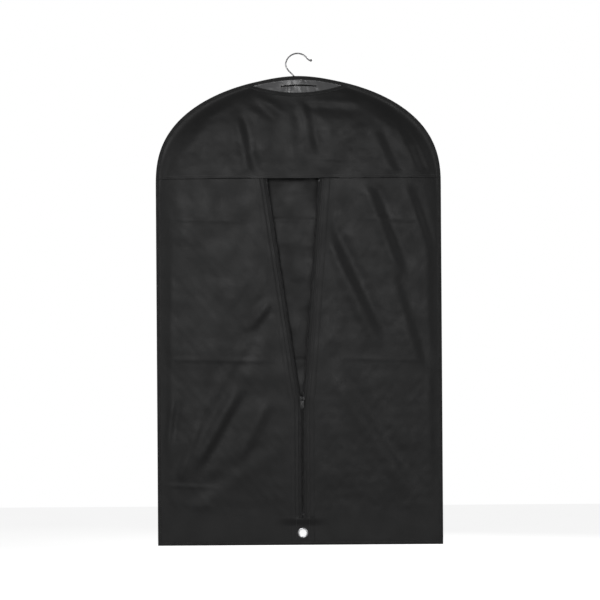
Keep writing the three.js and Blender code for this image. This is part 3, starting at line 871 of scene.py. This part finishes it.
def make_slot_edge():
    """A welded line round the slot, with a round dot at each end."""
    turn = np.linspace(0, 2 * math.pi, 121)
    x = SLOT_X + (SLOT_HALF - 0.0003) * np.cos(turn)
    round_end = np.abs(np.sin(turn)) ** 0.35 * np.sign(np.sin(turn))
    z = slot_z(x) + (SLOT_GAP + 0.0004) * round_end
    path = xyz(x, film_y(x, z) - 0.0002, z)
    rim = tube("slot_edge_line", path, 0.00045, 8, BINDING)
    parts = [rim]
    for end in (-1, 1):
        at = SLOT_X + end * (SLOT_HALF + 0.0008)
        height = float(slot_z(at))
        face = float(film_y(at, height))
        dome = in_mm([(0.1, -0.8), (1.1, -0.7), (1.8, -0.3), (2.0, 0.3), (0.1, 0.3)])
        profile = [(radius, face + lift) for radius, lift in dome]
        parts.append(lathe("slot_end", profile, (at, 0, height), "y", BINDING, 24))
    return dress(joined("insert_slot_edge", parts), "bag", "binding_tape")


# ---- bindings ----
BINDING_LIFTS = [(0.0016, 0.00075), (0.0003, 0.0005)]     # from the edge, and off the cloth


def binding_piece(name, path, inward, front, back, width):
    """Tape folded over an edge. front and back are the cloth's y on each side."""
    steps = [(width, 0.00045), (width * 0.55, 0.0006)] + BINDING_LIFTS

    def laid(reach, lift, surface, face):
        at = path + inward * reach
        return xyz(at[:, 0], surface(at[:, 0], at[:, 2]) + face * lift, at[:, 2])

    middle = path.copy()
    middle[:, 1] = (front(path[:, 0], path[:, 2]) + back(path[:, 0], path[:, 2])) / 2
    rows = [laid(reach, lift, front, -1) for reach, lift in steps] + [middle]
    rows += [laid(reach, lift, back, 1) for reach, lift in steps[::-1]]
    return cloth_piece(name, np.stack(rows, axis=1), BINDING)


def sewn_row(name, path, inward, surface, face, slot):
    """The stitches along a bound edge, on its front (-1) or its back (1)."""
    line = path + inward * SEWN_IN
    line[:, 1] = surface(line[:, 0], line[:, 2]) + face * SEWN_LIFT
    return dress(stitches(name, line, face), "bag", slot)


def rim_path(side, first_x):
    """The bag's edge from near the neck round the shoulder and down, with the directions into the bag."""
    start = math.asin((first_x / HALF_WIDTH) ** (SHOULDER_X_POWER / 2))
    turn = np.linspace(start, math.pi / 2, 130)
    x = HALF_WIDTH * np.sin(turn) ** (2 / SHOULDER_X_POWER)
    z = TOP_Z - SHOULDER_DROP * (1 - np.maximum(np.cos(turn), 0) ** (2 / SHOULDER_Z_POWER))
    down = np.linspace(z[-1], BOTTOM_Z + 0.0006, 120)[1:]
    x = np.concatenate([x, HALF_WIDTH + 0 * down]) * side
    z = np.concatenate([z, down])
    path = xyz(x, 0, z)
    along = directions(path)
    inward = xyz(along[:, 2] * side, 0, -along[:, 0] * side)
    return path, inward


def level_path(x, z, inward_z):
    """An edge that runs across the bag, with the directions into the bag."""
    path = xyz(x, 0, z)
    return path, np.array([[0.0, 0.0, inward_z]] * len(x))


def front_rim_y(x, z):
    return -np.where(z > HEM_Z, yoke_depth(x, z), panel_depth(x, z))


def yoke_rim_y(x, z):
    return -yoke_depth(x, z)


def hem_front_y(x, z):
    return -panel_depth(x, z) - HEM_LIFT


def make_side_binding(side):
    path, inward = rim_path(side, BINDING_FIRST_X)
    word = SIDE_WORD[side]
    name = "edge_binding_" + word
    piece = binding_piece(name, path, inward, front_rim_y, shoulder_depth, BINDING_WIDTH)
    rows = [dress(piece, "bag", "binding_tape", "side_binding_" + word)]
    for face, surface in ((-1, front_rim_y), (1, shoulder_depth)):
        name = f"edge_stitches_{word}_{FACE_WORD[face]}"
        rows.append(sewn_row(name, path, inward, surface, face, "binding_tape"))
    return rows


def make_neck_binding(face):
    """Tape over the top edge of the front or back at the neck."""
    word = FACE_WORD[face]
    x = np.linspace(-NECK_HALF, NECK_HALF, 91)
    path, inward = level_path(x, top_z(x), -1)
    surface = yoke_rim_y if face < 0 else shoulder_depth
    name = "neck_binding_tape_" + word
    piece = binding_piece(name, path, inward, surface, surface, BINDING_WIDTH)
    dress(piece, "bag", "binding_tape", "neck_binding_" + word)
    return [piece, sewn_row("neck_stitches_" + word, path, inward, surface, face, "binding_tape")]


def make_lens_binding():
    """Tape laid over the joint of film and yoke, sewn along both its edges."""
    x = np.linspace(-LENS_HALF, LENS_HALF, 141)
    path = xyz(x, 0, lens_z(x))
    along = directions(path)
    across = xyz(along[:, 2], 0, -along[:, 0])
    rows = []
    for offset, lift in in_mm([(-0.4, 0.3), (0.2, 0.8), (2.2, 1.2), (4.6, 1.2), (6.8, 0.8), (7.4, 0.3)]):
        at = path + across * offset
        z = np.minimum(at[:, 2], top_z(at[:, 0], 0.002))
        rows.append(on_front(at[:, 0], z, lift))
    piece = cloth_piece("insert_binding_tape", np.stack(rows, axis=1), BINDING)
    made = [dress(piece, "bag", "binding_tape", "neck_insert_binding")]
    for index, offset in enumerate((0.0012, 0.0058)):
        at = (path + across * offset)[4:-4]
        line = on_front(at[:, 0], at[:, 2], 0.0014)
        row = stitches(f"insert_stitches_{index + 1}", line)
        made.append(dress(row, "bag", "binding_tape"))
    return made


def make_bottom_hem():
    x = np.linspace(-HALF_WIDTH, HALF_WIDTH, 121)
    path, inward = level_path(x, BOTTOM_Z, 1)
    piece = binding_piece("bottom_hem_fold", path, inward, hem_front_y, shoulder_depth, HEM_WIDTH)
    dress(piece, "bag", "shell_fabric", "bottom_hem")
    sewn = (path[2:-2], inward[2:-2], hem_front_y, -1, "shell_fabric")
    return [piece, sewn_row("bottom_hem_stitches", *sewn)]


def make_yoke_stitches():
    x = np.linspace(-0.291, 0.291, 301)
    z = HEM_Z + YOKE_STITCH + 0 * x
    row = stitches("yoke_hem_stitches", on_front(x, z, THREAD_LIFT))
    return dress(row, "bag", "shell_fabric")


# ---- the zip ----
ROW_FOOT = (STOP_Z - HINGE.z) / ZIP_UP.z
TAPE_FOOT = ROW_FOOT - 0.012
COIL_FOOT = ROW_FOOT + 0.0045
COIL_STEPS = 12
COIL_FRONT = 0.00115   # depth of the coil's middle behind the zip's face
COIL_RISE = 0.00085
PLACKET_STITCH = 0.0050
CLIP_THICK = 0.0005


def rows_blend(piece):
    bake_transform(piece)


def make_tape(side):
    word = SIDE_WORD[side]
    z = np.linspace(TAPE_FOOT, ROW_TOP + 0.004, 190)[:, None]
    x = side * np.array([0.0009, 0.0030, 0.0060, 0.0090, 0.0120, 0.0150, 0.0175, TAPE_EDGE])
    y = 0.0024 + 0 * x
    piece = cloth_piece("zip_tape_" + word, open_point(side, x, y, z), TAPE, thickness=0.0004)
    rows_blend(piece)
    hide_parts("zip_tape_lower_" + word, "zip_tape_upper_" + word)


def make_coil(side):
    """The row's nylon coil: one wire wound along the tape's edge, over a sewn cord."""
    word = SIDE_WORD[side]
    turns = int((ROW_TOP - COIL_FOOT) / COIL_PITCH)
    turn = np.arange(turns * COIL_STEPS + 1) * 2 * math.pi / COIL_STEPS
    z = COIL_FOOT + turn / (2 * math.pi) * COIL_PITCH + (COIL_PITCH / 2 if side > 0 else 0)
    x = side * (COIL_CENTRE - COIL_HALF * np.cos(turn))
    path = open_point(side, x, COIL_FRONT - COIL_RISE * np.sin(turn), z)
    wire = tube("zip_coil_wire", path, 0.00027, 5, NYLON)
    z = np.linspace(COIL_FOOT, ROW_TOP, 180)
    core = open_point(side, side * (COIL_CENTRE + 0.0004), 0.0012, z)
    cord = tube("zip_coil_cord", core, 0.00045, 6, NYLON)
    piece = joined("zip_coil_" + word, [wire, cord])
    rows_blend(piece)
    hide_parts("zip_coil_lower_" + word, "zip_coil_upper_" + word)
    line = open_point(side, side * 0.0034, 0.0021, z)
    row = stitches("zip_coil_stitches_" + word, line, length=0.0016, thread=0.00022)
    rows_blend(row)


def make_placket_stitches(side):
    z = np.linspace(HEM_Z + TOP_HIDDEN - 0.002, BOTTOM_Z + 0.009, 420)
    x = cloth_inner_x(side, z) + side * PLACKET_STITCH
    line = xyz(x, front_y(side, x, z) - THREAD_LIFT, z)
    row = stitches("placket_stitches_" + SIDE_WORD[side], line)
    bend_with_flap(row)
    return row


def make_bar_tack():
    """A dense zigzag that ends the left placket's stitching under the hem."""
    z = np.linspace(HEM_Z - 0.0064, HEM_Z - 0.0008, 23)
    x = cloth_inner_x(-1, z) - 0.0010 + 0.0009 * np.where(np.arange(len(z)) % 2, 1, -1)
    line = xyz(x, front_y(-1, x, z) - 0.0003, z)
    dress(tube("zip_bar_tack", line, 0.0003, 6, STITCHING), "left_flap", "shell_fabric")


def make_top_stop(side):
    """A bent metal clip round the outer part of the row's last turns."""
    word = SIDE_WORD[side]
    low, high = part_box("zip_top_stop_" + word)
    middle = (low.z + high.z) / 2
    height = (middle - HINGE.z) / ZIP_UP.z / math.cos(MOUTH_ANGLE[side])
    path = np.linspace(height - 0.0017, height + 0.0017, 5)
    section = in_mm([(3.6, 2.2), (3.8, 0.8), (3.3, -0.3), (2.4, -0.7), (1.5, -0.6), (1.0, -0.1)])
    places = np.stack([open_point(side, side * x, y, path) for x, y in section], axis=1)
    piece = cloth_piece("zip_top_clip_" + word, places, ENAMEL, thickness=CLIP_THICK)
    dress(piece, word + "_flap", "zip_metal", "zip_top_stop_" + word)


def make_bottom_stop():
    path = np.linspace(ROW_FOOT, ROW_FOOT + 0.0032, 6)
    right = in_mm([(4.1, 3.0), (4.1, 1.2), (3.5, -0.2), (1.5, -0.6)])
    section = right + [(-x, y) for x, y in right[::-1]]
    places = np.stack([zip_point(x, y, path) for x, y in section], axis=1)
    piece = cloth_piece("zip_bottom_clip", places, ENAMEL, thickness=CLIP_THICK)
    dress(piece, "bag", "zip_metal", "zip_bottom_stop")


# ---- slider and puller: their own x and z in millimetres, from the slider's top and from the pivot ----
SLIDER_SHAPE = [(-5.4, 0), (-5.4, -6), (-3.8, -12), (3.8, -12), (5.4, -6), (5.4, 0)]
SLIDER_RAIL = [(5.15, -0.3), (5.15, -6.0), (4.4, -8.7), (3.62, -11.7)]
# The arch that carries the puller, as depth and height.
BAIL = [(-1.9, -0.75), (-4.4, -0.75), (-5.3, -1.0), (-5.95, -1.6), (-6.2, -2.5), (-6.2, -6.1),
        (-5.95, -7.0), (-5.3, -7.6), (-4.4, -7.85), (-1.9, -7.85)]
BAIL_SECTION = [(-1.1, -0.25), (-0.9, -0.4), (0.9, -0.4), (1.1, -0.25),
                (1.1, 0.25), (0.9, 0.4), (-0.9, 0.4), (-1.1, 0.25)]
PULLER_SHAPE = [(-3.6, 0.6), (-4, -16), (-2.8, -22), (2.8, -22), (4, -16), (3.6, 0.6)]
PULLER_LENGTH = 0.022
PULLER_EYE = [(-2.2, -0.6), (-2.2, -5.6), (2.2, -5.6), (2.2, -0.6)]
PULLER_RELIEF = [(-2.4, -8.2), (-2.5, -15.6), (-1.7, -19.6), (1.7, -19.6), (2.5, -15.6), (2.4, -8.2)]
RELIEF_FACE = 0.0007
SLIDER_FRONT = -0.0014
SLIDER_BACK = 0.0038


def slider_place(x, y, z):
    return zip_point(x, y, z + SLIDER_TOP).reshape(-1, 3)


def slider_front_place(x, y, z):
    return slider_place(x, y + SLIDER_FRONT, z)


def slider_back_place(x, y, z):
    return slider_place(x, y + SLIDER_BACK, z)


def puller_place(x, y, z):
    return xyz(PIVOT.x + x, PIVOT.y + y, PIVOT.z + z)


def relief_front_place(x, y, z):
    return puller_place(x, y - RELIEF_FACE, z)


def relief_back_place(x, y, z):
    return puller_place(x, y + RELIEF_FACE, z)


def slider_outline(inset=0.0):
    shape = [((abs(x) - inset) * math.copysign(MM, x), (z - inset if z == 0 else z) * MM)
             for x, z in SLIDER_SHAPE]
    return round_corners(shape, 0.0018)


def make_slider():
    parts = [plate("front", [slider_outline()], 0.0016, 0.0005, slider_front_place, ENAMEL)]
    for side in (-1, 1):
        rail = np.array(in_mm(SLIDER_RAIL))
        path = slider_place(side * rail[:, 0], -0.0002, rail[:, 1])
        parts.append(tube("rail", path, 0.00042, 8, ENAMEL))
    bail = np.array(in_mm(BAIL))
    path = slider_place(0, bail[:, 0], bail[:, 1])
    along = directions(path)
    sides = np.array([[1.0, 0, 0]] * len(path))
    parts.append(sweep("bail", path, sides, np.cross(along, sides), in_mm(BAIL_SECTION), ENAMEL))
    dress(joined("zip_slider_front", parts), "zip_slider", "zip_metal", "zip_slider_body")
    outline = slider_outline(0.0001)
    back = plate("zip_slider_back", [outline], 0.0012, 0.0004, slider_back_place, ENAMEL)
    dress(back, "zip_slider", "zip_metal", "zip_slider_back_plate")


def make_puller():
    drop = PIVOT.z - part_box("zip_puller")[0].z - PULLER_LENGTH
    outline = round_corners([(x, z - drop) for x, z in in_mm(PULLER_SHAPE)], 0.0024)
    eye = round_corners(in_mm(PULLER_EYE), 0.0012)
    parts = [plate("tab", [outline, eye], 0.0012, 0.0004, puller_place, ENAMEL)]
    panel = round_corners(in_mm(PULLER_RELIEF), 0.0014)
    rim = [(x * 0.72, z * 0.92 - 0.0011) for x, z in panel]
    for place in (relief_front_place, relief_back_place):
        parts.append(plate("relief", [panel, rim], 0.0005, 0.0002, place, ENAMEL))
    dress(joined("zip_puller_tab", parts), "zip_puller", "zip_metal", "zip_puller")


# ---- eyelet ----
EYELET_BORE = EYELET_FLANGE - 0.0032
EYELET_FACE = 0.0032   # how far the front ring and the washer stand from the bag's middle
# The rings' sections, as radius past the bore and height past the face, in millimetres.
RIM_INSIDE = [(0, 5.8), (0, 0.6), (0.2, 0.2), (0.8, 0), (1.6, 0), (2.5, 0.3), (3.1, 0.6), (3.2, 0.9),
              (1.8, 0.7), (0.8, 0.9), (0.6, 5.8)]
WASHER = [(-0.1, -0.4), (0.4, 0), (1.6, -0.1), (3.0, -0.9), (3.2, -1.2), (0.7, -0.9), (0.6, -0.7)]


def make_eyelet():
    centre = (EYELET_X, 0, EYELET_Z)
    for name, section, face, node in (("eyelet_rim", RIM_INSIDE, -EYELET_FACE, "eyelet_front"),
                                      ("eyelet_washer", WASHER, EYELET_FACE, "eyelet_back")):
        profile = [(EYELET_BORE + out, face + up) for out, up in in_mm(section)]
        dress(lathe(name, profile, centre, "y", NICKEL, 96), "bag", "eyelet_steel", node)


# ---- hook ----
def curve_through(points, steps):
    """A smooth path through given points."""
    points = np.array(points)
    padded = np.concatenate([[2 * points[0] - points[1]], points, [2 * points[-1] - points[-2]]])
    path = []
    for index in range(len(points) - 1):
        a, b, c, d = padded[index:index + 4]
        for t in np.linspace(0, 1, steps, endpoint=False):
            path.append(0.5 * (2 * b + (c - a) * t + (2 * a - 5 * b + 4 * c - d) * t**2
                               + (3 * b - a - 3 * c + d) * t**3))
    path.append(points[-1])
    return np.array(path)


HOOK_BEND = 0.025
HOOK_WIRE = 0.0015
HOOK_STEM = [(0, -83), (0, -76), (0, -68), (0, -60), (-3.0, -52.2), (-11.4, -42.4),
             (-18.9, -34.8), (-23.4, -27.8)]
HOOK_END = (24.6, -12.8)
POLE_GAP = 0.02        # angle left open at the poles of the tip's ball


def make_hook():
    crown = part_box("hook_wire")[1].z - HOOK_WIRE - HOOK_BEND
    tip_low, tip_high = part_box("hook_tip")
    tip = (tip_low + tip_high) / 2
    bend = [(HOOK_BEND * math.cos(a), crown + HOOK_BEND * math.sin(a))
            for a in np.radians(np.arange(175, 26, -13))]
    end = in_mm([HOOK_END]) + [(tip.x - 0.0018, tip.z + 0.0002)]
    route = curve_through(in_mm(HOOK_STEM) + bend + end, 9)
    path = xyz(route[:, 0], 0, route[:, 1])
    dress(tube("hook_rod", path, HOOK_WIRE, 20, CHROME), "hook", "hook_steel", "hook_wire")
    radius = (tip_high.z - tip_low.z) / 2
    turn = np.linspace(POLE_GAP - math.pi / 2, math.pi / 2 - POLE_GAP, 21)
    profile = [(radius * math.cos(a), radius * math.sin(a)) for a in turn]
    ball = lathe("hook_ball", profile, tip, "z", CHROME, 32)
    dress(ball, "hook", "hook_steel", "hook_tip")


# ---- the object ----
back_cloth = make_back_cloth()
front_cloths = {side: make_front_cloth(side) for side in (-1, 1)}
yoke_cloth = make_yoke_cloth()
film = make_film()
slot_edge = make_slot_edge()
side_bindings = make_side_binding(-1) + make_side_binding(1)
neck_front = make_neck_binding(-1)
neck_back = make_neck_binding(1)
lens_binding = make_lens_binding()
bottom_hem = make_bottom_hem()
yoke_stitches = make_yoke_stitches()
for make in (make_tape, make_coil):
    make(-1)
    make(1)
placket_rows = {side: make_placket_stitches(side) for side in (-1, 1)}
make_bar_tack()
make_top_stop(-1)
make_top_stop(1)
make_bottom_stop()
make_slider()
make_puller()
make_eyelet()
make_hook()

for node, finish in (("hanger_body", PLASTIC), ("hanger_bar", PLASTIC), ("hanger_ferrule", ENAMEL)):
    carried = frame["nodes"][node]
    carried.data.materials.clear()
    carried.data.materials.append(finish)

# ---- floor, light and camera ----
FLOOR_Z = -1.60
FLOOR_HALF = 6
FLOOR_STEPS = 25
FLOOR_GLOW = 0.74
ROOM_GREY = 0.20
CAMERA_AWAY = 4
CAMERA_WIDTH = 1.263   # width of the picture at the bag
CAMERA_X = 0.002
CAMERA_Z = -0.5176
CAMERA_ROLL = 0.38     # degrees
SENSOR = 36


def make_floor():
    across = np.linspace(-FLOOR_HALF, FLOOR_HALF, FLOOR_STEPS)
    places = xyz(across, across[:, None], FLOOR_Z)
    made = Finish("studio floor", 0.8, Emission_Color=(1, 1, 1, 1), Emission_Strength=FLOOR_GLOW)
    made.colours(made.noise(3, 3), 0.80, 0.84, cool=1)
    faces = grid_faces(FLOOR_STEPS, FLOOR_STEPS)
    floor = new_piece("studio_floor", places.reshape(-1, 3), faces, made.material)
    floor.visible_diffuse = False
    floor.visible_glossy = False


def area_light(name, place, size, power, aim=(0, 0, -0.52)):
    light = bpy.data.lights.new(name, "AREA")
    light.shape = "DISK"
    light.size = size
    light.energy = power
    holder = bpy.data.objects.new(name, light)
    holder.location = place
    holder.rotation_euler = (Vector(aim) - Vector(place)).to_track_quat("-Z", "Y").to_euler()
    holder.visible_camera = False
    bpy.context.scene.collection.objects.link(holder)


def make_world():
    """White to the camera, and a soft grey to everything else."""
    world = bpy.data.worlds.new("studio")
    world.use_nodes = True
    tree = world.node_tree
    tree.nodes.clear()
    mix = tree.nodes.new("ShaderNodeMixShader")
    for socket, strength in ((1, ROOM_GREY), (2, 1.0)):
        glow = tree.nodes.new("ShaderNodeBackground")
        glow.inputs["Color"].default_value = (1, 1, 1, 1)
        glow.inputs["Strength"].default_value = strength
        tree.links.new(glow.outputs["Background"], mix.inputs[socket])
    path = tree.nodes.new("ShaderNodeLightPath")
    out = tree.nodes.new("ShaderNodeOutputWorld")
    tree.links.new(path.outputs["Is Camera Ray"], mix.inputs["Fac"])
    tree.links.new(mix.outputs["Shader"], out.inputs["Surface"])
    bpy.context.scene.world = world


make_floor()
make_world()
for name, place, size, power in (
        ("key", (-0.8, -4.5, 0.3), 1.4, 36), ("fill", (1.2, -4.3, -0.7), 1.4, 11),
        ("rim_left", (-2.6, -0.9, 0.1), 0.8, 9), ("rim_right", (2.6, -0.9, 0.1), 0.8, 5),
        ("back_key", (0.8, 4.5, 0.3), 1.4, 36), ("back_fill", (-1.4, 4.3, -0.7), 1.4, 12)):
    area_light(name, place, size, power)

camera = bpy.data.objects.new("camera", bpy.data.cameras.new("camera"))
camera.data.sensor_width = SENSOR
camera.data.lens = SENSOR * CAMERA_AWAY / CAMERA_WIDTH
camera.location = (CAMERA_X, -CAMERA_AWAY, CAMERA_Z)
camera.rotation_euler = (math.radians(90), math.radians(CAMERA_ROLL), 0)
bpy.context.scene.collection.objects.link(camera)
bpy.context.scene.camera = camera
bpy.context.scene.view_settings.view_transform = "Standard"
